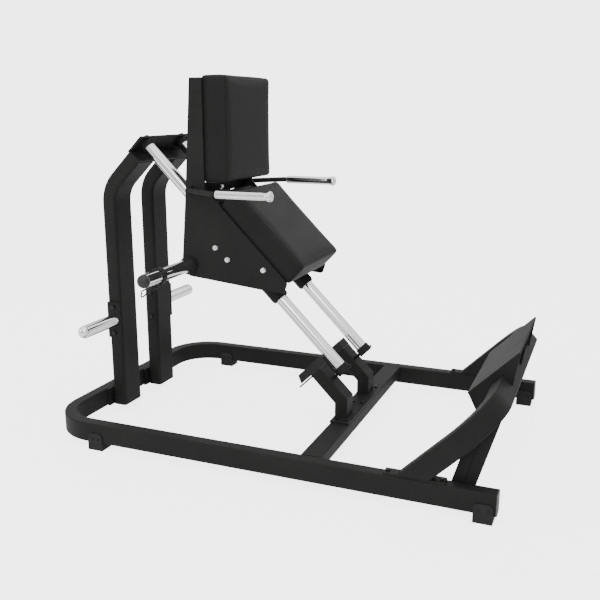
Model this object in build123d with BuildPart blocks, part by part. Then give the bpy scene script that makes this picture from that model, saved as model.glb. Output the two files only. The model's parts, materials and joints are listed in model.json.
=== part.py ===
from build123d import *
import os
from math import sqrt, radians, sin, cos, tan

# Plate-loaded leg press. Millimetres, +Z up, origin on the floor under the middle of the machine.
# +X runs along the base from the closed end with the uprights to the foot plate.
# The user faces +X, so "left" is +Y and "right" is -Y. Everything is mirrored about the XZ plane.

os.makedirs("parts", exist_ok=True)

# ---- driving dimensions -------------------------------------------------------------------------
GAP = 0.3                     # running gap between pieces that move past each other
HOLE_GAP = 0.25               # radial clearance of a bolt in its hole
RUNNING_FIT = 0.06            # radial clearance of the bushes on the rods
BOLT_FLATS, BOLT_HEAD = 13, 6           # hexagon heads of the frame and pad bolts
KEY_R = 2                     # corner radius of the hexagon sockets in small screws

# Base
CLOSED_END_X = -857           # outer face of the closed end of the base
OPEN_END_X = 847              # open ends of the two base rails
FRAME_HALF_WIDTH = 560        # outer faces of the base rails
FLOOR_GAP = 28                # underside of the rails above the floor
RAIL_W, RAIL_H, WALL = 50, 75, 3
TUBE_CORNER = 6
BASE_CORNER_R = 165           # centreline radius of the two base corners
CROSS_X, CROSS_W, CROSS_H = 220, 75, 50
CAP_T, CAP_PLUG = 3, 20       # plugs in open tube ends
FOOT_X, FOOT_LENGTH, FOOT_HIGH, FOOT_T = (-624, 808), 62, 66, 4
FOOT_CORNER_R, FOOT_TUCK = 16, 2
FOOT_SCREW_PITCH, FOOT_SCREW_RISE, FOOT_SCREW_R, FOOT_SCREW_H = 29, 15, 4.5, 2.5

# Uprights and the plates that anchor them to the base
UPRIGHT_D, UPRIGHT_W = 60, 120          # along X, along Y
UPRIGHT_X, UPRIGHT_Y = -767, 136
UPRIGHT_BEND_Z, UPRIGHT_BEND_R = 878, 135
ANCHOR_T, ANCHOR_HALF_W, ANCHOR_H = 10, 86, 75
ANCHOR_BOLT_Y, ANCHOR_BOLT_RISE = 74, (20, 55)

# The two guide rods run down towards +X at 45 degrees. Along the slope, "run" counts downhill from
# the datum and "lift" counts square to the rods, upwards.
ROD_X, ROD_Z, ROD_Y = -197, 689, 132
ROD_D, ROD_CHAMFER = 46, 1.5
ROD_TOP, ROD_LOW = -598, 574
SOCKET_D, SOCKET_START, SOCKET_END = 56, -616, -578
COLLAR_START, COLLAR_END = 554, 580
COLLAR_STEM, STEM_START, STEM_ROOT = 12, 8, 16
STOP_RING_START = 548
GRUB_D, GRUB_LENGTH, GRUB_RUN = 8, 8, (SOCKET_END - 9, COLLAR_START + 17)
BEAM_T, BEAM_FLANGE, BEAM_WEB = 8, 60, 82
BEAM_LIFT, BEAM_BACK = -51, -608        # the uprights' end cut and the angle's upper face

# Lower posts and the blocks on them
POST_W, POST_D = 75, 50       # along Y, across the slope
POST_Y, POST_X, POST_LIFT = 136, 210, -76
POST_BASE_T, POST_BASE_HALF = 8, 218
BASE_BOLT_Y, BASE_BOLT_X = (-196, 0, 196), 18
REST_START, REST_END = 472, 504
REST_LOW_START, REST_LOW_END, REST_EDGE_R = -140, -154, 2
SHIM_END, SHIM_INSET = 507, 2
FLANGE_END, FLANGE_LOW, FLANGE_NOSE = 513, -168, 3

# Foot hoop, struts and foot plate
HOOP_R, HOOP_BAR_X, HOOP_BAR_Z = 150, 813, 338
HOOP_PLATE_T, HOOP_PLATE_LENGTH, HOOP_PLATE_INSET, HOOP_BOLT_X = 8, 200, 4, 88
PLATE_LENGTH, PLATE_HALF_W, PLATE_T = 230, 247, 6
PLATE_TOP_X = -CLOSED_END_X - PLATE_T / sqrt(2)     # reaches as far out as the closed end
PLATE_TOP_Z = 466
RIB_T, RIB_JAW_HIGH, RIB_JAW_LOW = 6, 8, 12
RIB_CHIN_X, RIB_CHIN_Z = 32, 60         # the ribs' lowest corner, from the plate's lower edge
STRUT_W, STRUT_D, STRUT_X = 78, 40, 737
STRUT_LEAN, STRUT_TOE_IN, STRUT_STOCK, STRUT_SEAM = 16.3, 0.08, 330, 1.5

# Horns that carry weight plates
HORN_D, HORN_WALL = 50, 5
STORE_Z, STORE_TIP = 400, 396
STORE_BOLT_PITCH, STORE_BOLT_D, STORE_BOLT_FLATS = 107, 10, 16
STORE_PLATE_W, STORE_PLATE_H, STORE_PLATE_T, STORE_PLATE_R = 56, 150, 8, 3
LOAD_X, LOAD_Z, LOAD_TIP = -401, 658, 523
CAP_NOSE, CAP_ROUND, CAP_INSET = 24.5, 24, 0.4
FLANGE_D, FLANGE_T, WELD_RING = 72, 8, 5

# Carriage: side plates, cross tubes and pads
SIDE_Y, SIDE_T = 200, 8       # inner face and thickness of the side plates
SIDE_TOP, SIDE_LOW_R, SIDE_NOSE_R = 1354, 12, 14
PAD_HALF_W, PAD_SINK = 198, 8           # the pads sit this deep between the side plates
BACK_X, BACK_LOW, BACK_HIGH, BACK_T = -334, 973, 1364, 101
SEAT_LIFT, SEAT_START, SEAT_LENGTH, SEAT_T = 87, -198, 394, 96
PAD_CORNER_R, PAD_FRONT_R = 14, 10
BOARD_T, BOARD_INSET, BOARD_GAP = 15, 10, 0.5
TIE_W, TIE_D = 40, 16
BACK_TIE_Z, SEAT_TIE_RUN = (1290, 1130, 1000), (-130, 0, 130)
PAD_BOLT_HEAD, BACK_BOLT_Y, SEAT_BOLT_Y = 5, 110, 77
BRACE_TUBE_W, BRACE_TUBE_D, BRACE_TUBE_R = 50, 30, 4
BRACE_TUBE_SPOTS = ((-236, 70), (-60, -90))         # run, lift of the two stiffening tubes
CROSS_PLATE_X, CROSS_PLATE_Z, CROSS_PLATE_T, CROSS_PLATE_H = -371, 946, 10, 44
CROSS_BOLT_Z, CROSS_BOLT_FLATS, CROSS_BOLT_HEAD, CROSS_BOLT_D = 940, 18, 7, 10

# Carriage: bearings
HOUSING_D, HOUSING_HALF, HOUSING_BORE = 68, 204, 48
MOUNT_RUN, MOUNT_LOW, MOUNT_HIGH, MOUNT_IN, MOUNT_BEVEL = 120, -50, 70, 150, 45
WINDOW_RUN, WINDOW_LIFT, WINDOW_LENGTH, WINDOW_H, WINDOW_R = -10, 8, 150, 44, 8
BUSH_D, BUSH_LENGTH = 56, 60
WIPER_D, WIPER_T = 62, 6
HOUSING_BOLT_SPOTS = ((-93, -30), (-28, -25), (97, 59))       # run, lift
HOUSING_BOLT_D, HOUSING_BOLT_FLATS, HOUSING_BOLT_HEAD, HOUSING_BOLT_GRIP = 12, 17, 7, 24

# Carriage: handles
ARM_D, ARM_ROOT_X, ARM_ROOT_Z = 20, -390, 945
ARM_KNEE, ARM_BEND_R, ARM_TAIL, ARM_LEAD = 14, 12, 60, 16
BOSS_R, BOSS_T = 13, 8
PIN_X, PIN_Z, PIN_R, PIN_DEPTH = -375, 957, 5, 5      # small blind hole in each side plate above the arm
GRIP_Y, GRIP_Z, GRIP_START, GRIP_END, GRIP_D = 325, 948, -214, -6, 32
GRIP_LIP, GRIP_FLARE, GRIP_FLARE_RUN = 2, 4, 24
GRIP_CAP, GRIP_CAP_DROP, GRIP_CAP_BORE = 9, 8, 3

# Spring clips on the weight horns
CLIP_Y, CLIP_WIRE, HANDLE_WIRE = 425, 5.5, 5
COIL_TURNS, COIL_PITCH = 4, CLIP_WIRE * 0.92

SIDES = (("left", 1), ("right", -1))
R2 = sqrt(2)

RAIL_Y = FRAME_HALF_WIDTH - RAIL_W / 2
RAIL_Z = FLOOR_GAP + RAIL_H / 2
RAIL_TOP = FLOOR_GAP + RAIL_H
RAIL_INNER_Y = FRAME_HALF_WIDTH - RAIL_W
UPRIGHT_OUT = UPRIGHT_Y + UPRIGHT_W / 2
UPRIGHT_IN = UPRIGHT_Y - UPRIGHT_W / 2
SIDE_OUT = SIDE_Y + SIDE_T


# ---- helpers ------------------------------------------------------------------------------------
def side_plane(y):
    """XZ sketch plane at Y = y, whose extrusion runs towards -Y."""
    return Plane.XZ.offset(-y)


def facing_side(x, y, z, s):
    """Sketch plane at |Y| = y on the side s, facing outwards, or inwards for -s."""
    return Plane(origin=(x, y, z), x_dir=(1, 0, 0), z_dir=(0, s, 0))


def facing_front(x, y, z):
    return Plane(origin=(x, y, z), x_dir=(0, 1, 0), z_dir=(1, 0, 0))


def slope_point(run, y=0, lift=0):
    return (ROD_X + (run + lift) / R2, y, ROD_Z + (lift - run) / R2)


def slope_side(y):
    """Sketch plane at Y = y with local x down the slope and local y square to it, upwards."""
    return Plane(origin=(ROD_X, y, ROD_Z), x_dir=(1, 0, -1), z_dir=(0, -1, 0))


def slope_across(run, y=0, lift=0):
    """Sketch plane square to the rods, facing downhill."""
    return Plane(origin=slope_point(run, y, lift), x_dir=(0, 1, 0), z_dir=(1, 0, -1))


def save(part, name):
    part.part.label = name
    export_step(part.part, f"parts/{name}.step")


def tube_section(width, height, corner=TUBE_CORNER):
    """Wall of a rounded tube, in the sketch being drawn."""
    RectangleRounded(width, height, corner)
    RectangleRounded(width - 2 * WALL, height - 2 * WALL, corner - WALL, mode=Mode.SUBTRACT)


def ring(plane, outer, inner, length):
    """Plain ring or sleeve, in the part being built."""
    with BuildSketch(plane) as ring_end:
        Circle(outer)
        Circle(inner, mode=Mode.SUBTRACT)
    extrude(ring_end.sketch, amount=length)


def round_bar(plane, radius, length):
    """Plain round bar from the plane along its normal, in the part being built."""
    with BuildSketch(plane) as bar_end:
        Circle(radius)
    extrude(bar_end.sketch, amount=length)


def round_hole(plane, radius, length):
    with BuildSketch(plane) as hole_end:
        Circle(radius)
    extrude(hole_end.sketch, amount=length, mode=Mode.SUBTRACT)


def hex_head(plane, across_flats, height):
    with BuildSketch(plane) as head_end:
        RegularPolygon(across_flats / 2, 6, major_radius=False)
    extrude(head_end.sketch, amount=height)


def hex_bolt(plane, across_flats, head, shank_d, shank):
    """Hexagon head on a washer face that stands on the plane, with the shank below it."""
    washer_r, washer_t = across_flats * 0.56, head / 4
    round_bar(plane, washer_r, washer_t)
    hex_head(plane.offset(washer_t), across_flats, head)
    round_bar(plane, shank_d / 2, -shank)


def socket_screw(plane, radius, height):
    """Round screw end with a hexagon socket, in the part being built."""
    with BuildSketch(plane) as screw_end:
        Circle(radius)
        RegularPolygon(KEY_R, 6, mode=Mode.SUBTRACT)
    extrude(screw_end.sketch, amount=height)


def domed_plug(x, y, z, s):
    """Plug in a horn's open end with a nose still to be rounded, in the part being built."""
    tip = facing_side(x, s * y, z, s)
    round_bar(tip, HORN_D / 2 - CAP_INSET, CAP_NOSE)
    round_bar(tip, HORN_D / 2 - HORN_WALL - HOLE_GAP, -CAP_PLUG)


# ---- base frame ---------------------------------------------------------------------------------
BEND_X = CLOSED_END_X + RAIL_W / 2 + BASE_CORNER_R

for side, s in SIDES:
    with BuildPart() as base_side:
        with BuildSketch(Plane.YZ.offset(BEND_X)):
            with Locations((s * RAIL_Y, RAIL_Z)):
                tube_section(RAIL_W, RAIL_H)
        extrude(amount=OPEN_END_X - BEND_X)
    save(base_side, f"base_side_{side}")

with BuildPart() as base_end:
    with BuildLine(Plane.XY.offset(RAIL_Z)) as end_path:
        corner_x, corner_y = BEND_X - BASE_CORNER_R, RAIL_Y - BASE_CORNER_R
        JernArc((BEND_X, -RAIL_Y), (-1, 0), BASE_CORNER_R, -90)
        Line((corner_x, -corner_y), (corner_x, corner_y))
        JernArc((corner_x, corner_y), (0, 1), BASE_CORNER_R, -90)
    with BuildSketch(Plane(origin=(BEND_X, -RAIL_Y, RAIL_Z), x_dir=(0, 1, 0), z_dir=(-1, 0, 0))):
        tube_section(RAIL_W, RAIL_H)
    sweep(path=end_path.wires()[0])
save(base_end, "base_end_hoop")

with BuildPart() as cross_member:
    with BuildSketch(side_plane(RAIL_INNER_Y)):
        with Locations((CROSS_X, RAIL_TOP - CROSS_H / 2)):
            tube_section(CROSS_W, CROSS_H)
    extrude(amount=2 * RAIL_INNER_Y)
save(cross_member, "mid_cross_member")

with BuildPart() as end_caps:
    for side, s in SIDES:
        with BuildSketch(Plane.YZ.offset(OPEN_END_X)):
            with Locations((s * RAIL_Y, RAIL_Z)):
                RectangleRounded(RAIL_W, RAIL_H, TUBE_CORNER)
        extrude(amount=CAP_T)
        with BuildSketch(Plane.YZ.offset(OPEN_END_X)):
            with Locations((s * RAIL_Y, RAIL_Z)):
                taken = 2 * WALL + 2 * HOLE_GAP
                RectangleRounded(RAIL_W - taken, RAIL_H - taken, TUBE_CORNER - WALL)
        extrude(amount=-CAP_PLUG)
save(end_caps, "rail_end_caps")

# Rubber saddle feet that wrap the rails at both ends.
with BuildPart() as feet:
    for foot_x in FOOT_X:
        for side, s in SIDES:
            with BuildSketch(Plane.XY):
                with Locations((foot_x, s * RAIL_Y)):
                    Rectangle(FOOT_LENGTH, RAIL_W + 2 * FOOT_T)
            extrude(amount=FLOOR_GAP)
            for face in (-1, 1):
                cheek_y = s * RAIL_Y + face * (RAIL_W / 2 + FOOT_T / 2)
                cheek_low = FLOOR_GAP - FOOT_TUCK
                with BuildSketch(side_plane(cheek_y + FOOT_T / 2)) as cheek:
                    with Locations((foot_x, (FOOT_HIGH + cheek_low) / 2)):
                        Rectangle(FOOT_LENGTH, FOOT_HIGH - cheek_low)
                    fillet(cheek.vertices().group_by(Axis.Y)[-1], FOOT_CORNER_R)
                extrude(amount=FOOT_T)
save(feet, "saddle_feet")

with BuildPart() as foot_screws:
    for foot_x in FOOT_X:
        for side, s in SIDES:
            for face in (-1, 1):
                for end in (-1, 1):
                    screw_x = foot_x + end * FOOT_SCREW_PITCH / 2
                    head_y = s * RAIL_Y + face * (RAIL_W / 2 + FOOT_T)
                    screw_z = FLOOR_GAP + FOOT_SCREW_RISE
                    socket_screw(facing_side(screw_x, head_y, screw_z, face), FOOT_SCREW_R, FOOT_SCREW_H)
save(foot_screws, "foot_screws")

# ---- uprights -----------------------------------------------------------------------------------
# Each rises, bends forward and climbs at 45 degrees until it meets the angle across the top.
BEND_END_X = UPRIGHT_X + UPRIGHT_BEND_R * (1 - cos(radians(45)))
BEND_END_Z = UPRIGHT_BEND_Z + UPRIGHT_BEND_R * sin(radians(45))
UPRIGHT_CLIMB = (ROD_X + ROD_Z + BEAM_LIFT * R2 - BEND_END_X - BEND_END_Z) / 2
for side, s in SIDES:
    with BuildPart() as upright:
        with BuildLine(side_plane(s * UPRIGHT_Y)) as upright_path:
            Line((UPRIGHT_X, FLOOR_GAP), (UPRIGHT_X, UPRIGHT_BEND_Z))
            JernArc((UPRIGHT_X, UPRIGHT_BEND_Z), (0, 1), UPRIGHT_BEND_R, -45)
            Line((BEND_END_X, BEND_END_Z), (BEND_END_X + UPRIGHT_CLIMB, BEND_END_Z + UPRIGHT_CLIMB))
        with BuildSketch(Plane((UPRIGHT_X, s * UPRIGHT_Y, FLOOR_GAP))):
            tube_section(UPRIGHT_D, UPRIGHT_W, 2 * TUBE_CORNER)
        sweep(path=upright_path.wires()[0])
        for level in (-1, 1):
            bolt_z = STORE_Z + level * STORE_BOLT_PITCH / 2
            round_hole(facing_side(UPRIGHT_X, 0, bolt_z, s), STORE_BOLT_D / 2 + HOLE_GAP, 2 * UPRIGHT_OUT)
    save(upright, f"upright_{side}")

ANCHOR_X = CLOSED_END_X + RAIL_W
with BuildPart() as anchor_plates:
    for side, s in SIDES:
        with BuildSketch(Plane.YZ.offset(ANCHOR_X)):
            with Locations((s * UPRIGHT_Y, FLOOR_GAP + ANCHOR_H / 2)):
                Rectangle(2 * ANCHOR_HALF_W, ANCHOR_H)
        extrude(amount=ANCHOR_T)
save(anchor_plates, "upright_anchor_plates")

# ---- top cross angle and rod sockets ------------------------------------------------------------
with BuildPart() as top_angle:
    with BuildSketch(slope_side(UPRIGHT_OUT)):
        with BuildLine():
            Polyline(
                (BEAM_BACK, BEAM_LIFT), (BEAM_BACK + BEAM_FLANGE, BEAM_LIFT),
                (BEAM_BACK + BEAM_FLANGE, BEAM_LIFT + BEAM_T), (BEAM_BACK + BEAM_T, BEAM_LIFT + BEAM_T),
                (BEAM_BACK + BEAM_T, BEAM_LIFT + BEAM_WEB), (BEAM_BACK, BEAM_LIFT + BEAM_WEB),
                close=True,
            )
        make_face()
    extrude(amount=2 * UPRIGHT_OUT)
    for side, s in SIDES:
        round_hole(slope_across(BEAM_BACK, s * ROD_Y), SOCKET_D / 2, BEAM_T)
save(top_angle, "top_cross_angle")

with BuildPart() as sockets:
    for side, s in SIDES:
        round_bar(slope_across(SOCKET_START, s * ROD_Y), SOCKET_D / 2, SOCKET_END - SOCKET_START)
        round_hole(slope_across(ROD_TOP, s * ROD_Y), ROD_D / 2, SOCKET_END - ROD_TOP)
save(sockets, "upper_rod_sockets")

with BuildPart() as grub_screws:
    for side, s in SIDES:
        for run in GRUB_RUN:
            crown = slope_point(run, s * ROD_Y, SOCKET_D / 2)
            socket_screw(Plane(origin=crown, x_dir=(0, 1, 0), z_dir=(1, 0, 1)), GRUB_D / 2, GRUB_LENGTH)
save(grub_screws, "rod_lock_screws")

# ---- guide rods and their lower seats -----------------------------------------------------------
for side, s in SIDES:
    with BuildPart() as rod:
        round_bar(slope_across(ROD_TOP, s * ROD_Y), ROD_D / 2, ROD_LOW - ROD_TOP)
        chamfer(rod.edges().filter_by(GeomType.CIRCLE), ROD_CHAMFER)
    save(rod, f"guide_rod_{side}")

# Each collar stands on its post by a short square stem.
POST_FACE = POST_LIFT + POST_D / 2
with BuildPart() as rod_collars:
    for side, s in SIDES:
        round_bar(slope_across(COLLAR_START, s * ROD_Y), SOCKET_D / 2, COLLAR_END - COLLAR_START)
        with BuildSketch(slope_across(COLLAR_START + STEM_START, s * ROD_Y)):
            with Locations((0, (POST_FACE - STEM_ROOT) / 2)):
                Rectangle(COLLAR_STEM, -POST_FACE - STEM_ROOT)
        extrude(amount=COLLAR_STEM)
        round_hole(slope_across(COLLAR_START, s * ROD_Y), ROD_D / 2, ROD_LOW - COLLAR_START)
save(rod_collars, "lower_rod_collars")

with BuildPart() as stop_rings:
    for side, s in SIDES:
        start = slope_across(STOP_RING_START, s * ROD_Y)
        ring(start, SOCKET_D / 2 - 1, ROD_D / 2 + HOLE_GAP, COLLAR_START - STOP_RING_START)
save(stop_rings, "rubber_stop_rings")

# ---- lower posts --------------------------------------------------------------------------------
POST_BASE_Z = RAIL_TOP + POST_BASE_T
POST_END = slope_point(FLANGE_END, 0, POST_LIFT)
MITRE_Z = ROD_X + ROD_Z + POST_LIFT * R2 - POST_X
for side, s in SIDES:
    with BuildPart() as post:
        with BuildLine(side_plane(s * POST_Y)) as post_path:
            Polyline((POST_X, POST_BASE_Z), (POST_X, MITRE_Z), (POST_END[0], POST_END[2]))
        with BuildSketch(Plane((POST_X, s * POST_Y, POST_BASE_Z))):
            tube_section(POST_D, POST_W)
        sweep(path=post_path.wires()[0], transition=Transition.RIGHT)
    save(post, f"lower_post_{side}")

with BuildPart() as post_base:
    with BuildSketch(Plane.XY.offset(RAIL_TOP)):
        with Locations((CROSS_X, 0)):
            Rectangle(CROSS_W, 2 * POST_BASE_HALF)
    extrude(amount=POST_BASE_T)
save(post_base, "post_base_plate")

with BuildPart() as post_flanges:
    for side, s in SIDES:
        with BuildSketch(slope_side(s * POST_Y + POST_W / 2)):
            with BuildLine():
                root, middle = FLANGE_LOW + FLANGE_NOSE, (SHIM_END + FLANGE_END) / 2
                Polyline((FLANGE_END, root), (FLANGE_END, POST_FACE), (SHIM_END, POST_FACE), (SHIM_END, root))
                ThreePointArc((SHIM_END, root), (middle, FLANGE_LOW), (FLANGE_END, root))
            make_face()
        extrude(amount=POST_W)
save(post_flanges, "post_end_flanges")

with BuildPart() as shims:
    for side, s in SIDES:
        with BuildSketch(slope_side(s * POST_Y + POST_W / 2 - SHIM_INSET)):
            with Locations(((REST_END + SHIM_END) / 2, POST_LIFT)):
                Rectangle(SHIM_END - REST_END, POST_D - 2 * SHIM_INSET)
        extrude(amount=POST_W - 2 * SHIM_INSET)
save(shims, "rest_block_shims")

with BuildPart() as rest_blocks:
    for side, s in SIDES:
        with BuildSketch(slope_side(s * POST_Y + POST_W / 2)):
            with BuildLine():
                Polyline(
                    (REST_START, POST_FACE), (REST_END, POST_FACE), (REST_END, REST_LOW_END),
                    (REST_START, REST_LOW_START), close=True,
                )
            make_face()
        extrude(amount=POST_W)
    fillet(rest_blocks.edges().filter_by(Axis.Y), REST_EDGE_R)
save(rest_blocks, "rest_blocks")

# ---- foot hoop, its base plates, the struts and the foot plate ----------------------------------
HOOP_BEND_X = HOOP_BAR_X - HOOP_R / R2
HOOP_BEND_Z = HOOP_BAR_Z - HOOP_R / R2
LEG_FOOT_Z = RAIL_TOP + HOOP_PLATE_T
LEG_FOOT_X = HOOP_BEND_X - (HOOP_BEND_Z - LEG_FOOT_Z)
with BuildPart() as foot_arch:
    arch_plane = Plane(origin=(HOOP_BAR_X, 0, HOOP_BAR_Z), x_dir=(0, 1, 0), z_dir=(1, 0, -1))
    with BuildLine(arch_plane) as arch_path:
        bar_half = RAIL_Y - HOOP_R
        JernArc((-RAIL_Y, -HOOP_R), (0, 1), HOOP_R, -90)
        Line((-bar_half, 0), (bar_half, 0))
        JernArc((bar_half, 0), (1, 0), HOOP_R, -90)
    with BuildSketch(Plane(origin=(HOOP_BEND_X, -RAIL_Y, HOOP_BEND_Z), x_dir=(0, 1, 0), z_dir=(1, 0, 1))):
        tube_section(RAIL_W, RAIL_H)
    sweep(path=arch_path.wires()[0])
save(foot_arch, "foot_hoop_arch")

with BuildPart() as legs:
    for side, s in SIDES:
        leg_top = Plane(origin=(HOOP_BEND_X, s * RAIL_Y, HOOP_BEND_Z), x_dir=(0, 1, 0), z_dir=(1, 0, 1))
        with BuildSketch(leg_top):
            tube_section(RAIL_W, RAIL_H)
        extrude(amount=(LEG_FOOT_Z - HOOP_BEND_Z) * R2 - RAIL_H)
    split(bisect_by=Plane.XY.offset(LEG_FOOT_Z), keep=Keep.TOP)
save(legs, "foot_hoop_legs")

with BuildPart() as hoop_plates:
    for side, s in SIDES:
        with BuildSketch(Plane.XY.offset(RAIL_TOP)):
            with Locations((LEG_FOOT_X, s * RAIL_Y)):
                Rectangle(HOOP_PLATE_LENGTH, RAIL_W - 2 * HOOP_PLATE_INSET)
        extrude(amount=HOOP_PLATE_T)
save(hoop_plates, "hoop_base_plates")

# Bolt heads that hold the uprights' anchors, the posts' base plate and the hoop's plates down.
with BuildPart() as frame_bolts:
    for side, s in SIDES:
        for wing in (-1, 1):
            bolt_y = s * UPRIGHT_Y + wing * ANCHOR_BOLT_Y
            for rise in ANCHOR_BOLT_RISE:
                hex_head(facing_front(ANCHOR_X + ANCHOR_T, bolt_y, FLOOR_GAP + rise), BOLT_FLATS, BOLT_HEAD)
            hoop_bolt_x = LEG_FOOT_X + wing * HOOP_BOLT_X
            hex_head(Plane((hoop_bolt_x, s * RAIL_Y, LEG_FOOT_Z)), BOLT_FLATS, BOLT_HEAD)
    for bolt_y in BASE_BOLT_Y:
        for end in (-1, 1):
            hex_head(Plane((CROSS_X + end * BASE_BOLT_X, bolt_y, POST_BASE_Z)), BOLT_FLATS, BOLT_HEAD)
save(frame_bolts, "frame_bolts")

# Each strut is a pair of square tubes side by side, so a seam runs up the middle of it.
STRUT_LOW = FLOOR_GAP + 8
STRUT_LOW_X = STRUT_X - (RAIL_TOP - STRUT_LOW) * tan(radians(STRUT_LEAN))
STRUT_Y = RAIL_INNER_Y - STRUT_D / 2
half_rail = RAIL_H / 2 / R2
hoop_underside = Plane(
    origin=(HOOP_BAR_X + half_rail, 0, HOOP_BAR_Z - half_rail), x_dir=(0, 1, 0), z_dir=(-1, 0, 1)
)
with BuildPart() as struts:
    for side, s in SIDES:
        with BuildSketch(Plane.XY.offset(STRUT_LOW)):
            with Locations((STRUT_LOW_X, s * STRUT_Y)):
                Rectangle(STRUT_W, STRUT_D)
                Rectangle(STRUT_SEAM, STRUT_D, mode=Mode.SUBTRACT)
                Rectangle(2 * STRUT_SEAM, STRUT_D - 2 * WALL)
            with Locations(*((STRUT_LOW_X + half * STRUT_W / 4, s * STRUT_Y) for half in (-1, 1))):
                Rectangle(STRUT_W / 2 - 2 * WALL, STRUT_D - 2 * WALL, mode=Mode.SUBTRACT)
        lean = radians(STRUT_LEAN)
        extrude(amount=STRUT_STOCK, dir=(sin(lean), -s * STRUT_TOE_IN, cos(lean)))
    split(bisect_by=hoop_underside, keep=Keep.BOTTOM)
save(struts, "rear_struts")

# Foot plate: a flat sheet at 45 degrees on three ribs that are notched over the hoop bar.
PLATE_LOW_X = PLATE_TOP_X - PLATE_LENGTH / R2
PLATE_LOW_Z = PLATE_TOP_Z - PLATE_LENGTH / R2
drop = PLATE_T / R2
with BuildPart() as foot_sheet:
    with BuildSketch(side_plane(PLATE_HALF_W)):
        with BuildLine():
            Polyline(
                (PLATE_LOW_X, PLATE_LOW_Z), (PLATE_TOP_X, PLATE_TOP_Z),
                (PLATE_TOP_X + drop, PLATE_TOP_Z - drop), (PLATE_LOW_X + drop, PLATE_LOW_Z - drop),
                close=True,
            )
        make_face()
    extrude(amount=2 * PLATE_HALF_W)
save(foot_sheet, "foot_plate")

half_bar = RAIL_W / 2 / R2
with BuildPart() as ribs:
    for rib_y in (-PLATE_HALF_W + RIB_T, RIB_T / 2, PLATE_HALF_W):
        with BuildSketch(side_plane(rib_y)):
            with BuildLine():
                face_x, face_z = HOOP_BAR_X - half_rail, HOOP_BAR_Z + half_rail
                Polyline(
                    (PLATE_LOW_X + drop, PLATE_LOW_Z - drop),
                    (PLATE_TOP_X + drop, PLATE_TOP_Z - drop),
                    (HOOP_BAR_X + half_bar + RIB_JAW_HIGH, HOOP_BAR_Z + half_bar - RIB_JAW_HIGH),
                    (face_x + half_bar, face_z + half_bar),
                    (face_x - half_bar, face_z - half_bar),
                    (HOOP_BAR_X - half_bar + RIB_JAW_LOW, HOOP_BAR_Z - half_bar - RIB_JAW_LOW),
                    (PLATE_LOW_X + RIB_CHIN_X, PLATE_LOW_Z - RIB_CHIN_Z),
                    close=True,
                )
            make_face()
        extrude(amount=RIB_T)
save(ribs, "foot_plate_ribs")

# ---- weight storage horns on the uprights -------------------------------------------------------
STORE_ROOT = UPRIGHT_OUT + STORE_PLATE_T
with BuildPart() as store_horns:
    for side, s in SIDES:
        root = facing_side(UPRIGHT_X, s * STORE_ROOT, STORE_Z, s)
        ring(root, HORN_D / 2, HORN_D / 2 - HORN_WALL, STORE_TIP - STORE_ROOT)
save(store_horns, "storage_horns")

with BuildPart() as store_plates:
    for side, s in SIDES:
        with BuildSketch(facing_side(UPRIGHT_X, s * UPRIGHT_OUT, STORE_Z, s)):
            RectangleRounded(STORE_PLATE_W, STORE_PLATE_H, STORE_PLATE_R)
            with GridLocations(0, STORE_BOLT_PITCH, 1, 2):
                Circle(STORE_BOLT_D / 2 + HOLE_GAP, mode=Mode.SUBTRACT)
        extrude(amount=STORE_PLATE_T)
save(store_plates, "storage_horn_plates")

with BuildPart() as store_bolts:
    for side, s in SIDES:
        for level in (-1, 1):
            bolt_z = STORE_Z + level * STORE_BOLT_PITCH / 2
            outer = facing_side(UPRIGHT_X, s * STORE_ROOT, bolt_z, s)
            hex_bolt(outer, STORE_BOLT_FLATS, BOLT_HEAD, STORE_BOLT_D, STORE_ROOT - UPRIGHT_IN)
            hex_head(facing_side(UPRIGHT_X, s * UPRIGHT_IN, bolt_z, -s), STORE_BOLT_FLATS, BOLT_HEAD)
save(store_bolts, "storage_horn_bolts")

with BuildPart() as store_caps:
    for side, s in SIDES:
        domed_plug(UPRIGHT_X, STORE_TIP, STORE_Z, s)
    for end in (0, -1):
        fillet(store_caps.faces().sort_by(Axis.Y)[end].edges(), CAP_ROUND)
save(store_caps, "storage_horn_caps")

# ---- carriage: side plates and cross tubes ------------------------------------------------------
# The front edge runs straight down beside the back pad and then along the seat pad.
SIDE_FRONT_X = BACK_X + PAD_SINK
EDGE_SUM = ROD_X + ROD_Z + (SEAT_LIFT + PAD_SINK) * R2      # X + Z along the sloping edge
for side, s in SIDES:
    with BuildPart() as side_plate:
        with BuildSketch(side_plane(max(s * SIDE_Y, s * SIDE_OUT))):
            with BuildLine():
                Polyline(
                    (-377, SIDE_TOP), (SIDE_FRONT_X, SIDE_TOP), (SIDE_FRONT_X, EDGE_SUM - SIDE_FRONT_X),
                    (7, EDGE_SUM - 7), (-7, 577), (-400, 616), (-424, 640), (-430, 668), (-406, 944),
                    close=True,
                )
            make_face()
        extrude(amount=SIDE_T)
        fillet(side_plate.edges().filter_by(Axis.Y).group_by(Axis.Z)[0], SIDE_LOW_R)
        fillet(side_plate.edges().filter_by(Axis.Y).sort_by(Axis.X)[-1], SIDE_NOSE_R)
        for run, lift in HOUSING_BOLT_SPOTS:
            x, y, z = slope_point(run, s * SIDE_Y, lift)
            round_hole(facing_side(x, y, z, s), HOUSING_BOLT_D / 2 + HOLE_GAP, SIDE_T)
        round_hole(facing_side(LOAD_X, s * SIDE_Y, LOAD_Z, s), HORN_D / 2, SIDE_T)
        round_hole(facing_side(PIN_X, s * SIDE_OUT, PIN_Z, s), PIN_R, -PIN_DEPTH)
    save(side_plate, f"side_plate_{side}")

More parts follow.
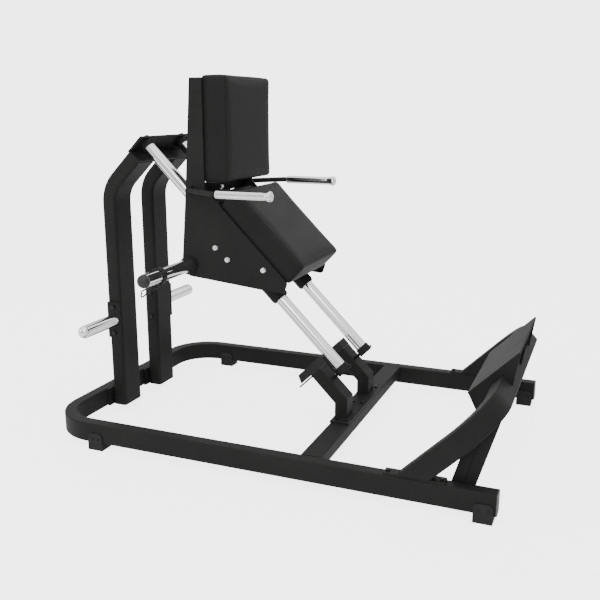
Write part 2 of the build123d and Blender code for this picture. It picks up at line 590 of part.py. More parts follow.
# Flat tubes between the side plates, three behind the back pad and three under the seat pad.
with BuildPart() as pad_ties:
    for tie_z in BACK_TIE_Z:
        with BuildSketch(side_plane(SIDE_Y)):
            with Locations((BACK_X - TIE_D / 2, tie_z)):
                Rectangle(TIE_D, TIE_W)
                Rectangle(TIE_D - 2 * WALL, TIE_W - 2 * WALL, mode=Mode.SUBTRACT)
        extrude(amount=2 * SIDE_Y)
    for run in SEAT_TIE_RUN:
        with BuildSketch(slope_side(SIDE_Y)):
            with Locations((run, SEAT_LIFT - TIE_D / 2)):
                Rectangle(TIE_W, TIE_D)
                Rectangle(TIE_W - 2 * WALL, TIE_D - 2 * WALL, mode=Mode.SUBTRACT)
        extrude(amount=2 * SIDE_Y)
save(pad_ties, "pad_cross_tubes")

with BuildPart() as brace_tubes:
    for spot in BRACE_TUBE_SPOTS:
        with BuildSketch(slope_side(SIDE_Y)):
            with Locations(spot):
                tube_section(BRACE_TUBE_W, BRACE_TUBE_D, BRACE_TUBE_R)
        extrude(amount=2 * SIDE_Y)
save(brace_tubes, "carriage_cross_tubes")

# Bolts that hold the pad boards, with their heads on the far faces of the cross tubes.
with BuildPart() as pad_bolts:
    for side, s in SIDES:
        for tie_z in BACK_TIE_Z:
            head = Plane(origin=(BACK_X - TIE_D, s * BACK_BOLT_Y, tie_z), x_dir=(0, 1, 0), z_dir=(-1, 0, 0))
            hex_head(head, BOLT_FLATS, PAD_BOLT_HEAD)
        for run in SEAT_TIE_RUN:
            spot = slope_point(run, s * SEAT_BOLT_Y, SEAT_LIFT - TIE_D)
            hex_head(Plane(origin=spot, x_dir=(0, 1, 0), z_dir=(-1, 0, -1)), BOLT_FLATS, PAD_BOLT_HEAD)
save(pad_bolts, "pad_bolts")

cross_plate_front = facing_front(CROSS_PLATE_X + CROSS_PLATE_T / 2, 0, CROSS_BOLT_Z)
with BuildPart() as cross_plate:
    with BuildSketch(side_plane(SIDE_Y)):
        with Locations((CROSS_PLATE_X, CROSS_PLATE_Z)):
            Rectangle(CROSS_PLATE_T, CROSS_PLATE_H)
    extrude(amount=2 * SIDE_Y)
    round_hole(cross_plate_front, CROSS_BOLT_D / 2 + HOLE_GAP, -CROSS_PLATE_T)
save(cross_plate, "handle_cross_plate")

# ---- carriage: bearing housings on the guide rods -----------------------------------------------
for side, s in SIDES:
    with BuildPart() as housing:
        round_bar(slope_across(-HOUSING_HALF, s * ROD_Y), HOUSING_D / 2, 2 * HOUSING_HALF)
        with BuildSketch(slope_side(max(s * SIDE_Y, s * MOUNT_IN))):
            with BuildLine():
                Polyline(
                    (-MOUNT_RUN, MOUNT_LOW), (MOUNT_RUN - MOUNT_BEVEL, MOUNT_LOW),
                    (MOUNT_RUN, MOUNT_LOW + MOUNT_BEVEL), (MOUNT_RUN, MOUNT_HIGH),
                    (-MOUNT_RUN, MOUNT_HIGH), close=True,
                )
            make_face()
            with Locations((WINDOW_RUN, WINDOW_LIFT)):
                RectangleRounded(WINDOW_LENGTH, WINDOW_H, WINDOW_R, mode=Mode.SUBTRACT)
        extrude(amount=SIDE_Y - MOUNT_IN)
        round_hole(slope_across(-HOUSING_HALF, s * ROD_Y), HOUSING_BORE / 2, 2 * HOUSING_HALF)
        for end in (-1, 1):
            round_hole(slope_across(end * HOUSING_HALF, s * ROD_Y), BUSH_D / 2, -end * BUSH_LENGTH)
        for run, lift in HOUSING_BOLT_SPOTS:
            x, y, z = slope_point(run, s * SIDE_Y, lift)
            round_hole(facing_side(x, y, z, -s), HOUSING_BOLT_D / 2 + HOLE_GAP, HOUSING_BOLT_GRIP + 1)
    save(housing, f"bearing_housing_{side}")

with BuildPart() as bushes:
    for side, s in SIDES:
        for end in (-1, 1):
            mouth = slope_across(end * HOUSING_HALF, s * ROD_Y)
            ring(mouth, BUSH_D / 2, ROD_D / 2 + RUNNING_FIT, -end * BUSH_LENGTH)
save(bushes, "guide_bushes")

with BuildPart() as wipers:
    for side, s in SIDES:
        for end in (-1, 1):
            mouth = slope_across(end * HOUSING_HALF, s * ROD_Y)
            ring(mouth, WIPER_D / 2, ROD_D / 2 + GAP, end * WIPER_T)
save(wipers, "rod_wipers")

with BuildPart() as carriage_bolts:
    for side, s in SIDES:
        for run, lift in HOUSING_BOLT_SPOTS:
            x, y, z = slope_point(run, s * SIDE_OUT, lift)
            head = facing_side(x, y, z, s)
            hex_bolt(head, HOUSING_BOLT_FLATS, HOUSING_BOLT_HEAD, HOUSING_BOLT_D, SIDE_T + HOUSING_BOLT_GRIP)
    hex_bolt(cross_plate_front, CROSS_BOLT_FLATS, CROSS_BOLT_HEAD, CROSS_BOLT_D, CROSS_PLATE_T + BOLT_HEAD)
save(carriage_bolts, "carriage_bolts")

# ---- carriage: pads -----------------------------------------------------------------------------
# Plain closed solids with rounded edges. Each wraps its board, which lies flush in its back.
BACK_MID_Z = (BACK_LOW + BACK_HIGH) / 2
SEAT_MID_RUN = SEAT_START + SEAT_LENGTH / 2
POCKET_INSET = BOARD_INSET - BOARD_GAP
with BuildPart() as back_board:
    with BuildSketch(side_plane(PAD_HALF_W - BOARD_INSET)):
        with Locations((BACK_X + BOARD_T / 2, BACK_MID_Z)):
            Rectangle(BOARD_T, BACK_HIGH - BACK_LOW - 2 * BOARD_INSET)
    extrude(amount=2 * (PAD_HALF_W - BOARD_INSET))
save(back_board, "back_pad_board")

with BuildPart() as back_pad:
    with BuildSketch(side_plane(PAD_HALF_W)):
        with Locations((BACK_X + BACK_T / 2, BACK_MID_Z)):
            Rectangle(BACK_T, BACK_HIGH - BACK_LOW)
    extrude(amount=2 * PAD_HALF_W)
    fillet(back_pad.edges().filter_by(Axis.X), PAD_CORNER_R)
    fillet(back_pad.faces().sort_by(Axis.X)[-1].edges(), PAD_FRONT_R)
    with BuildSketch(side_plane(PAD_HALF_W - POCKET_INSET)):
        with Locations((BACK_X + BOARD_T / 2, BACK_MID_Z)):
            Rectangle(BOARD_T, BACK_HIGH - BACK_LOW - 2 * POCKET_INSET)
    extrude(amount=2 * (PAD_HALF_W - POCKET_INSET), mode=Mode.SUBTRACT)
save(back_pad, "back_pad")

with BuildPart() as seat_board:
    with BuildSketch(slope_side(PAD_HALF_W - BOARD_INSET)):
        with Locations((SEAT_MID_RUN, SEAT_LIFT + BOARD_T / 2)):
            Rectangle(SEAT_LENGTH - 2 * BOARD_INSET, BOARD_T)
    extrude(amount=2 * (PAD_HALF_W - BOARD_INSET))
save(seat_board, "seat_pad_board")

with BuildPart() as seat_pad:
    with BuildSketch(slope_side(PAD_HALF_W)):
        with Locations((SEAT_MID_RUN, SEAT_LIFT + SEAT_T / 2)):
            Rectangle(SEAT_LENGTH, SEAT_T)
    extrude(amount=2 * PAD_HALF_W)
    slope_up = Axis((0, 0, 0), (1, 0, 1))
    fillet(seat_pad.edges().filter_by(slope_up), PAD_CORNER_R)
    fillet(seat_pad.faces().sort_by(slope_up)[-1].edges(), PAD_FRONT_R)
    with BuildSketch(slope_side(PAD_HALF_W - POCKET_INSET)):
        with Locations((SEAT_MID_RUN, SEAT_LIFT + BOARD_T / 2)):
            Rectangle(SEAT_LENGTH - 2 * POCKET_INSET, BOARD_T)
    extrude(amount=2 * (PAD_HALF_W - POCKET_INSET), mode=Mode.SUBTRACT)
save(seat_pad, "seat_pad")

# ---- carriage: handles --------------------------------------------------------------------------
# A black arm on a boss on the side plate carries a chrome grip along X.
for side, s in SIDES:
    with BuildPart() as arm:
        with BuildLine() as arm_line:
            FilletPolyline(
                (ARM_ROOT_X, s * SIDE_OUT, ARM_ROOT_Z),
                (ARM_ROOT_X + ARM_KNEE, s * (SIDE_OUT + ARM_KNEE), ARM_ROOT_Z),
                (GRIP_START - ARM_LEAD, s * GRIP_Y, GRIP_Z),
                (GRIP_START + ARM_TAIL, s * GRIP_Y, GRIP_Z),
                radius=ARM_BEND_R,
            )
        arm_path = arm_line.wires()[0]
        with BuildSketch(Plane(origin=arm_path @ 0, z_dir=arm_path % 0)):
            Circle(ARM_D / 2)
        sweep(path=arm_path)
        split(bisect_by=Plane(origin=(0, s * SIDE_OUT, 0), z_dir=(0, s, 0)), keep=Keep.TOP)
        round_bar(facing_side(ARM_ROOT_X, s * SIDE_OUT, ARM_ROOT_Z, s), BOSS_R, BOSS_T)
    save(arm, f"handle_arm_{side}")

with BuildPart() as grips:
    for side, s in SIDES:
        with BuildSketch(Plane(origin=(0, s * GRIP_Y, GRIP_Z), x_dir=(1, 0, 0), z_dir=(0, -1, 0))):
            with BuildLine():
                r, bore, flare_start = GRIP_D / 2, ARM_D / 2 + HOLE_GAP, GRIP_END - GRIP_FLARE_RUN
                Line((GRIP_START, bore), (GRIP_START, r - GRIP_LIP))
                JernArc((GRIP_START, r - GRIP_LIP), (0, 1), GRIP_LIP, -90)
                Line((GRIP_START + GRIP_LIP, r), (flare_start, r))
                Spline((flare_start, r), (GRIP_END, r + GRIP_FLARE), tangents=((1, 0), (1, 0.1)))
                Line((GRIP_END, r + GRIP_FLARE), (GRIP_END, bore))
                Line((GRIP_END, bore), (GRIP_START, bore))
            make_face()
        revolve(axis=Axis((0, s * GRIP_Y, GRIP_Z), (1, 0, 0)))
save(grips, "hand_grips")

with BuildPart() as grip_caps:
    for side, s in SIDES:
        with BuildSketch(Plane(origin=(0, s * GRIP_Y, GRIP_Z), x_dir=(1, 0, 0), z_dir=(0, -1, 0))):
            with BuildLine():
                rim, cap_end = GRIP_D / 2 + GRIP_FLARE, GRIP_END + GRIP_CAP
                face_r = rim - GRIP_CAP_DROP
                Line((GRIP_END, GRIP_CAP_BORE), (GRIP_END, rim))
                RadiusArc((GRIP_END, rim), (cap_end, face_r), GRIP_CAP_DROP + GRIP_CAP_BORE)
                Line((cap_end, face_r), (cap_end, GRIP_CAP_BORE))
                Line((cap_end, GRIP_CAP_BORE), (GRIP_END, GRIP_CAP_BORE))
            make_face()
        revolve(axis=Axis((0, s * GRIP_Y, GRIP_Z), (1, 0, 0)))
save(grip_caps, "grip_end_caps")

# ---- carriage: weight horns ---------------------------------------------------------------------
# Each is welded through its side plate behind a round flange with a narrower ring on it.
for side, s in SIDES:
    with BuildPart() as load_horn:
        root = facing_side(LOAD_X, s * SIDE_Y, LOAD_Z, s)
        ring(root, HORN_D / 2, HORN_D / 2 - HORN_WALL, LOAD_TIP - SIDE_Y)
    save(load_horn, f"weight_horn_{side}")

with BuildPart() as load_flanges:
    for side, s in SIDES:
        face = facing_side(LOAD_X, s * SIDE_OUT, LOAD_Z, s)
        ring(face, FLANGE_D / 2, HORN_D / 2, FLANGE_T)
        ring(face.offset(FLANGE_T), HORN_D / 2 + WELD_RING, HORN_D / 2, WELD_RING)
save(load_flanges, "weight_horn_flanges")

with BuildPart() as load_caps:
    for side, s in SIDES:
        domed_plug(LOAD_X, LOAD_TIP, LOAD_Z, s)
    for end in (0, -1):
        fillet(load_caps.faces().sort_by(Axis.Y)[end].edges(), CAP_ROUND)
save(load_caps, "weight_horn_caps")

# ---- spring clips -------------------------------------------------------------------------------
# A short coil grips the horn, and a bent wire loop hangs under it as the handle.
COIL_R = HORN_D / 2 + GAP + CLIP_WIRE / 2
LOOP_LEG = ((15, 0, 3 - COIL_R), (15, 40, -34), (13, 95, -37))      # X, outwards and Z from the horn
LOOP_END = (0, 125, -59)
LOOP_BEND_R = 6
for side, s in SIDES:
    with BuildPart() as clip:
        for turn in range(COIL_TURNS):
            turn_y = s * (CLIP_Y + (turn - (COIL_TURNS - 1) / 2) * COIL_PITCH)
            with BuildSketch(Plane((LOAD_X, turn_y, LOAD_Z))):
                with Locations((COIL_R, 0)):
                    Circle(CLIP_WIRE / 2)
            revolve(axis=Axis((LOAD_X, turn_y, LOAD_Z), (0, 1, 0)))
        there = [(LOAD_X - x, s * (CLIP_Y + y), LOAD_Z + z) for x, y, z in LOOP_LEG]
        tip = (LOAD_X + LOOP_END[0], s * (CLIP_Y + LOOP_END[1]), LOAD_Z + LOOP_END[2])
        back = [(LOAD_X + x, s * (CLIP_Y + y), LOAD_Z + z) for x, y, z in reversed(LOOP_LEG)]
        with BuildLine() as wire:
            FilletPolyline(*there, tip, *back, radius=LOOP_BEND_R)
        wire_path = wire.wires()[0]
        with BuildSketch(Plane(origin=wire_path @ 0, z_dir=wire_path % 0)):
            Circle(HANDLE_WIRE / 2)
        sweep(path=wire_path)
    save(clip, f"spring_clip_{side}")
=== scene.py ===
import json
from math import radians

import bmesh
import bpy
import numpy as np
from mathutils import Matrix, Vector


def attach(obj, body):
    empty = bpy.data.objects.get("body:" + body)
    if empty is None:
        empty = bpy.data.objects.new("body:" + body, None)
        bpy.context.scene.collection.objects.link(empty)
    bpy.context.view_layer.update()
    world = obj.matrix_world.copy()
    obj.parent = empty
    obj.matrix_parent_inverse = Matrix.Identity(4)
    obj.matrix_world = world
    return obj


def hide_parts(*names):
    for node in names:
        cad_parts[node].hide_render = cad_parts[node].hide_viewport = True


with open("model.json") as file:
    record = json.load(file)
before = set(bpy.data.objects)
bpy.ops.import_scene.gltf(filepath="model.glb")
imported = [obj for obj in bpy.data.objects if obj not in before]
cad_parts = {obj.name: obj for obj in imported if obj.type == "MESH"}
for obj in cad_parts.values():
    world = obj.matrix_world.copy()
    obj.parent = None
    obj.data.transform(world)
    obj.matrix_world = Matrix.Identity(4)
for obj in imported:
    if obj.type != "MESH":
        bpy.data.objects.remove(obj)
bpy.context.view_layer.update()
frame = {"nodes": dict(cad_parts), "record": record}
NODES = frame["nodes"]

# ---- camera and studio, in metres, degrees and watts --------------------------------------------
CAMERA_PLACE = (1.105, -2.795, 1.2486)
CAMERA_PITCH, CAMERA_TURN = 13.826, 22.013
CAMERA_LENS, CAMERA_FILM = 47.0, 36       # millimetres
CAMERA_NEAR, CAMERA_FAR = 0.1, 60
FLOOR_HALF = 14

# Brightness of the sky and the floor as the camera sees them, as they light the machine, and as
# its surfaces reflect them. The sky's bands are pairs of height, from the horizon up, and level.
SKY_SEEN, SKY_LIGHT, SKY_GLOSS = 4.2, 1.4, 2.3
FLOOR_SEEN, FLOOR_GLOSS = 3.4, 0.5
SKY_BANDS = (
    (0.00, 0.30), (0.06, 0.08), (0.11, 0.10), (0.16, 0.80), (0.26, 0.55),
    (0.34, 0.26), (0.47, 0.24), (0.56, 0.70), (0.82, 0.55), (1.00, 0.40),
)
SOFTBOXES = {                             # place, target, size, power
    "key": ((1.0, -3.8, 3.0), (0, 0, 0.6), (1.8, 2.2), 54),
    "side": ((-3.6, -2.2, 1.8), (0, 0, 0.6), (1.6, 2.4), 30),
    "top": ((0.2, 0.4, 4.2), (0, 0, 0), (2.6, 2.6), 6),
    "back": ((0.28, 2.8, 2.03), (-0.1, 0, 0.85), (0.5, 0.8), 3),
}

# ---- cushions, in metres ------------------------------------------------------------------------
PAD_INSET = (0.001, 0.001, 0.0025)        # a pad starts this much smaller and swells back out
PAD_CORNER, PAD_CORNER_STEPS = 0.016, 6
PAD_FRONT_EDGE, PAD_EDGE_STEPS = 0.010, 5
PAD_BACK_GAP = 0.0006                     # the board stands this much proud of the cover's edge
PAD_VOXEL = 0.005
PAD_PRESSURE, PAD_STIFFNESS, PAD_BENDING = 3, 40, 4
PAD_FRAMES, PAD_QUALITY = 20, 4
PAD_SWELL = 0.0028                        # the most that the cover may bulge
PAD_STILL = 1e-9                          # a point that moves no more than this has not moved
PAD_RELAX = 14                            # passes that even out the bulge, as a tight cover does

UP, FRONT, SIDEWAYS = Vector((0, 0, 1)), Vector((1, 0, 0)), Vector((0, 1, 0))
SLOPE_DOWN, SLOPE_UP = Vector((1, 0, -1)).normalized(), Vector((1, 0, 1)).normalized()


def make_camera():
    data = bpy.data.cameras.new("camera")
    data.lens, data.sensor_width = CAMERA_LENS, CAMERA_FILM
    data.clip_start, data.clip_end = CAMERA_NEAR, CAMERA_FAR
    camera = bpy.data.objects.new("camera", data)
    camera.location = CAMERA_PLACE
    camera.rotation_euler = (radians(90 - CAMERA_PITCH), 0, radians(CAMERA_TURN))
    bpy.context.scene.collection.objects.link(camera)
    bpy.context.scene.camera = camera


def softbox(name, place, target, size, power):
    data = bpy.data.lights.new(name, "AREA")
    data.shape, data.size, data.size_y = "RECTANGLE", size[0], size[1]
    data.energy = power
    light = bpy.data.objects.new(name, data)
    light.location = place
    light.rotation_euler = (Vector(target) - Vector(place)).to_track_quat("-Z", "Y").to_euler()
    light.visible_camera = False
    bpy.context.scene.collection.objects.link(light)


def add_background(nodes, strength):
    background = nodes.new("ShaderNodeBackground")
    background.inputs["Color"].default_value = (1, 1, 1, 1)
    background.inputs["Strength"].default_value = strength
    return background


def make_sky():
    """Banded sky for light and reflections, and a plain pale one for the camera."""
    world = bpy.data.worlds.new("studio")
    bpy.context.scene.world = world
    world.use_nodes = True
    nodes, links = world.node_tree.nodes, world.node_tree.links
    path = nodes.new("ShaderNodeLightPath").outputs
    lit, seen = nodes["Background"], add_background(nodes, SKY_SEEN)

    height = nodes.new("ShaderNodeSeparateXYZ")
    links.new(nodes.new("ShaderNodeTexCoord").outputs["Generated"], height.inputs["Vector"])
    bands = nodes.new("ShaderNodeValToRGB")
    stops = bands.color_ramp.elements
    for number, (place, level) in enumerate(SKY_BANDS):
        stop = stops[0] if number == 0 else stops.new(place)
        stop.position, stop.color = place, (level, level, level, 1)
    links.new(height.outputs["Z"], bands.inputs["Fac"])
    links.new(bands.outputs["Color"], lit.inputs["Color"])

    strength = nodes.new("ShaderNodeMapRange")
    strength.inputs["To Min"].default_value = SKY_LIGHT
    strength.inputs["To Max"].default_value = SKY_GLOSS
    links.new(path["Is Glossy Ray"], strength.inputs["Value"])
    links.new(strength.outputs["Result"], lit.inputs["Strength"])

    either = nodes.new("ShaderNodeMixShader")
    links.new(path["Is Camera Ray"], either.inputs["Fac"])
    links.new(lit.outputs["Background"], either.inputs[1])
    links.new(seen.outputs["Background"], either.inputs[2])
    links.new(either.outputs["Shader"], nodes["World Output"].inputs["Surface"])


def make_studio():
    make_sky()
    for name, settings in SOFTBOXES.items():
        softbox(name, *settings)


def make_floor():
    mesh = bpy.data.meshes.new("floor")
    corners = [(x * FLOOR_HALF, y * FLOOR_HALF, 0) for x, y in ((-1, -1), (1, -1), (1, 1), (-1, 1))]
    mesh.from_pydata(corners, [], [(0, 1, 2, 3)])
    floor = bpy.data.objects.new("floor", mesh)
    bpy.context.scene.collection.objects.link(floor)
    floor.data.materials.append(floor_material())


# ---- materials ----------------------------------------------------------------------------------
MIX_A, MIX_B, MIX_RESULT = 6, 7, 2        # the colour sockets of a mix node, which repeat by name
BEVEL_SAMPLES = 4


class Surface:
    """A principled material with helpers for the nodes that vary over its surface."""

    def __init__(self, name):
        self.material = bpy.data.materials.new(name)
        self.material.use_nodes = True
        self.tree = self.material.node_tree
        self.shader = self.tree.nodes["Principled BSDF"]
        self.place = self.tree.nodes.new("ShaderNodeTexCoord").outputs["Object"]

    def link(self, source, target):
        self.tree.links.new(source, target)

    def set(self, **values):
        for key, value in values.items():
            self.shader.inputs[key.replace("_", " ")].default_value = value

    def stretched(self, scale):
        mapping = self.tree.nodes.new("ShaderNodeMapping")
        mapping.inputs["Scale"].default_value = scale
        self.link(self.place, mapping.inputs["Vector"])
        return mapping.outputs["Vector"]

    def noise(self, scale, detail=4.0, rough=0.55, vector=None):
        node = self.tree.nodes.new("ShaderNodeTexNoise")
        node.inputs["Scale"].default_value = scale
        node.inputs["Detail"].default_value = detail
        node.inputs["Roughness"].default_value = rough
        self.link(vector or self.place, node.inputs["Vector"])
        return node.outputs["Fac"]

    def cells(self, scale):
        """Distance to the edge of the nearest cell."""
        node = self.tree.nodes.new("ShaderNodeTexVoronoi")
        node.feature = "DISTANCE_TO_EDGE"
        node.inputs["Scale"].default_value = scale
        self.link(self.place, node.inputs["Vector"])
        return node.outputs["Distance"]

    def remap(self, value, low, high, to_low, to_high):
        node = self.tree.nodes.new("ShaderNodeMapRange")
        limits = {"From Min": low, "From Max": high, "To Min": to_low, "To Max": to_high}
        for key, number in limits.items():
            node.inputs[key].default_value = number
        self.link(value, node.inputs["Value"])
        return node.outputs["Result"]

    def math(self, operation, a, b):
        node = self.tree.nodes.new("ShaderNodeMath")
        node.operation = operation
        for socket, value in zip(node.inputs, (a, b)):
            if isinstance(value, (int, float)):
                socket.default_value = value
            else:
                self.link(value, socket)
        return node.outputs["Value"]

    def mix(self, factor, a, b):
        """Colour mix of two constants or outputs."""
        node = self.tree.nodes.new("ShaderNodeMix")
        node.data_type = "RGBA"
        self.link(factor, node.inputs["Factor"])
        for key, value in ((MIX_A, a), (MIX_B, b)):
            if isinstance(value, tuple):
                node.inputs[key].default_value = (*value, 1)
            else:
                self.link(value, node.inputs[key])
        return node.outputs[MIX_RESULT]

    def color(self, output):
        self.link(output, self.shader.inputs["Base Color"])

    def roughness(self, output):
        self.link(output, self.shader.inputs["Roughness"])

    def bump(self, height, strength, distance, over=None):
        node = self.tree.nodes.new("ShaderNodeBump")
        node.inputs["Strength"].default_value = strength
        node.inputs["Distance"].default_value = distance
        self.link(height, node.inputs["Height"])
        if over:
            self.link(over, node.inputs["Normal"])
        self.link(node.outputs["Normal"], self.shader.inputs["Normal"])
        return node.outputs["Normal"]

    def soft_edges(self, radius):
        """Rounded-edge shading for plates and bolts that are sharp in the mesh."""
        node = self.tree.nodes.new("ShaderNodeBevel")
        node.samples = BEVEL_SAMPLES
        node.inputs["Radius"].default_value = radius
        return node.outputs["Normal"]


def powder_coat():
    s = Surface("powder_coat")
    s.set(Specular_IOR_Level=0.10)
    wide = s.noise(5, 3)
    tint = s.remap(wide, 0.3, 0.7, 0, 1)
    s.color(s.mix(tint, (0.0195, 0.0188, 0.0184), (0.0255, 0.0247, 0.0241)))
    blotches = s.remap(wide, 0.3, 0.7, 0.46, 0.54)
    specks = s.remap(s.noise(420), 0.3, 0.7, -0.04, 0.04)
    s.roughness(s.math("ADD", blotches, specks))
    edge = s.soft_edges(0.0012)
    s.bump(s.noise(1500, 2), 0.12, 0.0004, s.bump(s.noise(260, 2), 0.10, 0.0006, edge))
    return s.material


def black_oxide():
    s = Surface("black_oxide")
    s.set(Metallic=0.6)
    spots = s.noise(700, 3)
    s.color(s.mix(s.remap(spots, 0.35, 0.7, 0, 1), (0.014, 0.014, 0.015), (0.035, 0.034, 0.033)))
    s.roughness(s.remap(s.noise(120), 0.3, 0.7, 0.34, 0.52))
    s.bump(spots, 0.15, 0.0003, s.soft_edges(0.0008))
    return s.material


def chrome():
    s = Surface("hard_chrome")
    s.set(Metallic=1.0)
    cloud = s.noise(9, 3)
    s.color(s.mix(s.remap(cloud, 0.3, 0.7, 0, 1), (0.87, 0.875, 0.885), (0.93, 0.935, 0.94)))
    haze = s.remap(cloud, 0.3, 0.7, 0.05, 0.09)
    wear = s.remap(s.noise(60, 5, 0.6, s.stretched((1, 1, 9))), 0.35, 0.7, 0, 0.05)
    s.roughness(s.math("ADD", haze, wear))
    s.bump(s.noise(900, 2), 0.03, 0.0002, s.soft_edges(0.0008))
    return s.material


def zinc():
    s = Surface("bright_zinc")
    s.set(Metallic=1.0)
    grain = s.noise(400, 4)
    s.color(s.mix(s.remap(grain, 0.3, 0.7, 0, 1), (0.84, 0.845, 0.855), (0.93, 0.93, 0.935)))
    s.roughness(s.remap(grain, 0.3, 0.7, 0.16, 0.30))
    s.bump(grain, 0.08, 0.0002, s.soft_edges(0.0008))
    return s.material


def rubber():
    s = Surface("black_rubber")
    s.set(Specular_IOR_Level=0.35)
    dust = s.noise(35, 6, 0.65)
    s.color(s.mix(s.remap(dust, 0.45, 0.8, 0, 1), (0.014, 0.014, 0.014), (0.034, 0.033, 0.032)))
    s.roughness(s.remap(dust, 0.3, 0.7, 0.66, 0.84))
    s.bump(s.noise(1100, 3), 0.25, 0.0004, s.soft_edges(0.0015))
    return s.material


def moulded(name, dark, light, low=0.42, high=0.58):
    s = Surface(name)
    fine = s.noise(520, 3)
    s.color(s.mix(s.remap(s.noise(14, 4), 0.3, 0.7, 0, 1), dark, light))
    s.roughness(s.remap(fine, 0.3, 0.7, low, high))
    s.bump(fine, 0.12, 0.0003, s.soft_edges(0.001))
    return s.material


def vinyl():
    """Smooth upholstery vinyl: a fine pebble grain with soft creases between the pebbles."""
    s = Surface("upholstery_vinyl")
    s.set(Specular_IOR_Level=0.09, Coat_Weight=0.035, Coat_Roughness=0.24)
    soft = s.noise(4, 3)
    tint = s.remap(soft, 0.3, 0.7, 0, 1)
    s.color(s.mix(tint, (0.0185, 0.0179, 0.0175), (0.0230, 0.0224, 0.0219)))
    pebbles = s.cells(620)
    blotches, grain = s.remap(soft, 0.3, 0.7, 0.45, 0.55), s.remap(pebbles, 0, 0.4, 0.06, -0.03)
    s.roughness(s.math("ADD", blotches, grain))
    creases = s.bump(s.noise(45, 5, 0.6), 0.10, 0.0015)
    s.bump(pebbles, 0.14, 0.0003, creases)
    return s.material


def plywood():
    s = Surface("stained_board")
    rings = s.noise(16, 6, 0.6, s.stretched((1, 1, 14)))
    s.color(s.mix(s.remap(rings, 0.35, 0.65, 0, 1), (0.030, 0.027, 0.024), (0.062, 0.054, 0.045)))
    s.roughness(s.remap(rings, 0.3, 0.7, 0.62, 0.80))
    s.bump(rings, 0.2, 0.0006)
    return s.material


def spring_steel():
    s = Surface("black_spring_steel")
    s.set(Metallic=0.7)
    scratch = s.noise(300, 5, 0.7, s.stretched((1, 4, 1)))
    s.color(s.mix(s.remap(scratch, 0.55, 0.75, 0, 1), (0.020, 0.020, 0.021), (0.09, 0.09, 0.092)))
    s.roughness(s.remap(scratch, 0.3, 0.7, 0.30, 0.46))
    s.bump(scratch, 0.1, 0.0002)
    return s.material


def floor_material():
    """Pale matt floor that looks brighter to the camera and in reflections, as the sky does."""
    s = Surface("studio_floor")
    s.color(s.mix(s.noise(3, 3), (0.86, 0.86, 0.86), (0.88, 0.88, 0.88)))
    s.roughness(s.remap(s.noise(8, 3), 0.3, 0.7, 0.6, 0.7))
    path = s.tree.nodes.new("ShaderNodeLightPath").outputs
    reflected, seen = s.tree.nodes.new("ShaderNodeEmission"), s.tree.nodes.new("ShaderNodeEmission")
    s.link(s.math("MULTIPLY", path["Is Glossy Ray"], FLOOR_GLOSS), reflected.inputs["Strength"])
    seen.inputs["Strength"].default_value = FLOOR_SEEN
    glow = s.tree.nodes.new("ShaderNodeMixShader")
    s.link(path["Is Camera Ray"], glow.inputs["Fac"])
    s.link(reflected.outputs["Emission"], glow.inputs[1])
    s.link(seen.outputs["Emission"], glow.inputs[2])
    both = s.tree.nodes.new("ShaderNodeAddShader")
    s.link(s.shader.outputs["BSDF"], both.inputs[0])
    s.link(glow.outputs["Shader"], both.inputs[1])
    s.link(both.outputs["Shader"], s.tree.nodes["Material Output"].inputs["Surface"])
    return s.material


def dress_cad():
    finishes = {
        "powder_black": powder_coat(), "black_bolt": black_oxide(),
        "chrome": chrome(), "zinc_bolt": zinc(),
        "rubber_black": rubber(), "vinyl_black": vinyl(),
        "board": plywood(), "spring_wire": spring_steel(),
        "plastic_black": moulded("moulded_black", (0.014, 0.014, 0.015), (0.020, 0.020, 0.021)),
        "plastic_grey": moulded("moulded_grey", (0.10, 0.10, 0.105), (0.13, 0.13, 0.135),
                                0.5, 0.65),
        "grip_cap_metal": zinc(),
        "bush_polymer": moulded("bush_polymer", (0.62, 0.59, 0.52), (0.70, 0.67, 0.60)),
    }
    for entry in frame["record"]["subparts"]:
        node = NODES[entry["node"]]
        node.data.materials.clear()
        node.data.materials.append(finishes[entry["material_slot"]])
    return finishes


# ---- pads ---------------------------------------------------------------------------------------
def pad_extent(node, along, across, out):
    """Centre and half sizes of a CAD pad along its own three directions."""
    points = np.array([v.co for v in NODES[node].data.vertices])
    axes = np.array([along, across, out])
    reach = points @ axes.T
    low, high = reach.min(0), reach.max(0)
    return Vector(((low + high) / 2) @ axes), (high - low) / 2


def pad_block(name, half):
    """Rounded block in its own axes: x along the pad, y across it, z out of its front."""
    mesh = bpy.data.meshes.new(name)
    pad = bpy.data.objects.new(name, mesh)
    bpy.context.scene.collection.objects.link(pad)
    box = bmesh.new()
    bmesh.ops.create_cube(box, size=2)
    for v in box.verts:
        front = half[2] - PAD_INSET[2] if v.co.z > 0 else PAD_BACK_GAP - half[2]
        v.co = Vector((v.co.x * (half[0] - PAD_INSET[0]), v.co.y * (half[1] - PAD_INSET[1]), front))
    upright = [e for e in box.edges if abs(e.verts[0].co.z - e.verts[1].co.z) > PAD_CORNER]
    bmesh.ops.bevel(box, geom=upright, offset=PAD_CORNER, segments=PAD_CORNER_STEPS, affect="EDGES",
                    profile=0.5)
    rim = [e for e in box.edges if min(v.co.z for v in e.verts) > 0]
    bmesh.ops.bevel(box, geom=rim, offset=PAD_FRONT_EDGE, segments=PAD_EDGE_STEPS, affect="EDGES",
                    profile=0.5)
    box.to_mesh(mesh)
    box.free()
    return pad


def apply_all(obj):
    """Leaves the object with the mesh that its modifiers make."""
    evaluated = obj.evaluated_get(bpy.context.evaluated_depsgraph_get())
    mesh = bpy.data.meshes.new_from_object(evaluated)
    obj.modifiers.clear()
    old, obj.data = obj.data, mesh
    bpy.data.meshes.remove(old)


def places(mesh):
    co = np.zeros(len(mesh.vertices) * 3)
    mesh.vertices.foreach_get("co", co)
    return co.reshape(-1, 3)


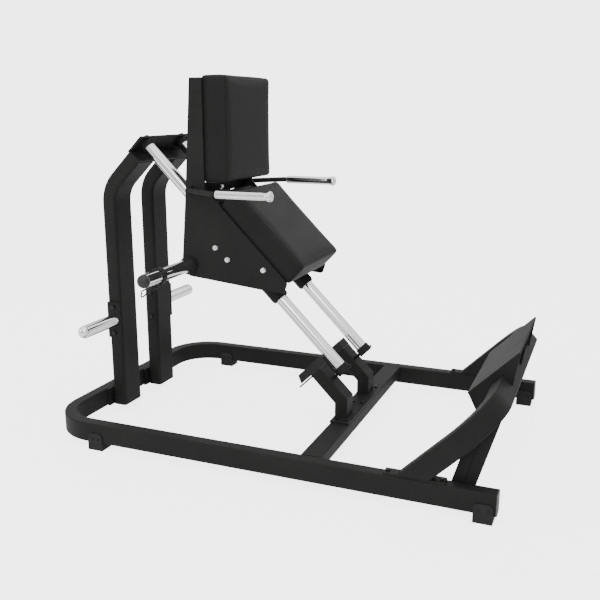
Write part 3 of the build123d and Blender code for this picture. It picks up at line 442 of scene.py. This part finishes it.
def relaxed(mesh, moved):
    """Movement of each point, evened out with that of its neighbours."""
    ends = np.zeros(len(mesh.edges) * 2, dtype=int)
    mesh.edges.foreach_get("vertices", ends)
    first, second = ends.reshape(-1, 2).T
    joined = np.bincount(ends, minlength=len(moved))[:, None]
    for _ in range(PAD_RELAX):
        total = np.zeros_like(moved)
        np.add.at(total, first, moved[second])
        np.add.at(total, second, moved[first])
        moved = (moved + total / joined) / 2
    return moved


def swell(pad, back_z):
    """Lets the cover bulge under the foam's pressure, with its back held flat on the board."""
    remesh = pad.modifiers.new("remesh", "REMESH")
    remesh.mode, remesh.voxel_size = "VOXEL", PAD_VOXEL
    apply_all(pad)
    before = places(pad.data)
    held = pad.vertex_groups.new(name="held")
    held.add([int(i) for i in np.nonzero(before[:, 2] < back_z + PAD_VOXEL)[0]], 1.0, "REPLACE")
    cloth = pad.modifiers.new("cloth", "CLOTH")
    cloth.settings.vertex_group_mass = "held"
    cloth.settings.use_pressure = True
    cloth.settings.uniform_pressure_force = PAD_PRESSURE
    cloth.settings.tension_stiffness = cloth.settings.compression_stiffness = PAD_STIFFNESS
    cloth.settings.bending_stiffness = PAD_BENDING
    cloth.settings.effector_weights.gravity = 0
    cloth.settings.quality = PAD_QUALITY
    for number in range(1, PAD_FRAMES + 1):
        bpy.context.scene.frame_set(number)
    evaluated = pad.evaluated_get(bpy.context.evaluated_depsgraph_get())
    moved = places(evaluated.data) - before
    length = np.maximum(np.linalg.norm(moved, axis=1), PAD_STILL)
    scale = np.where(length > PAD_STILL, PAD_SWELL * np.tanh(length / PAD_SWELL) / length, 0)
    pad.modifiers.clear()
    bpy.context.scene.frame_set(1)
    after = before + relaxed(pad.data, moved * scale[:, None])
    pad.data.vertices.foreach_set("co", after.ravel())
    pad.data.update()


def make_pad(name, node, along, across, out, cover):
    centre, half = pad_extent(node, along, across, out)
    pad = pad_block(name, half)
    swell(pad, -half[2])
    smooth = pad.modifiers.new("round", "SUBSURF")
    smooth.levels = smooth.render_levels = 1
    apply_all(pad)
    for polygon in pad.data.polygons:
        polygon.use_smooth = True
    turn = Matrix((along, across, out)).transposed().to_4x4()
    pad.data.transform(Matrix.Translation(centre) @ turn)
    pad.data.materials.append(cover)
    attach(pad, "carriage")
    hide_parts(node)


# ---- scene --------------------------------------------------------------------------------------
make_camera()
make_studio()
make_floor()
FINISHES = dress_cad()

make_pad("back_cushion", "back_pad", UP, -SIDEWAYS, FRONT, FINISHES["vinyl_black"])
make_pad("seat_cushion", "seat_pad", SLOPE_DOWN, SIDEWAYS, SLOPE_UP, FINISHES["vinyl_black"])
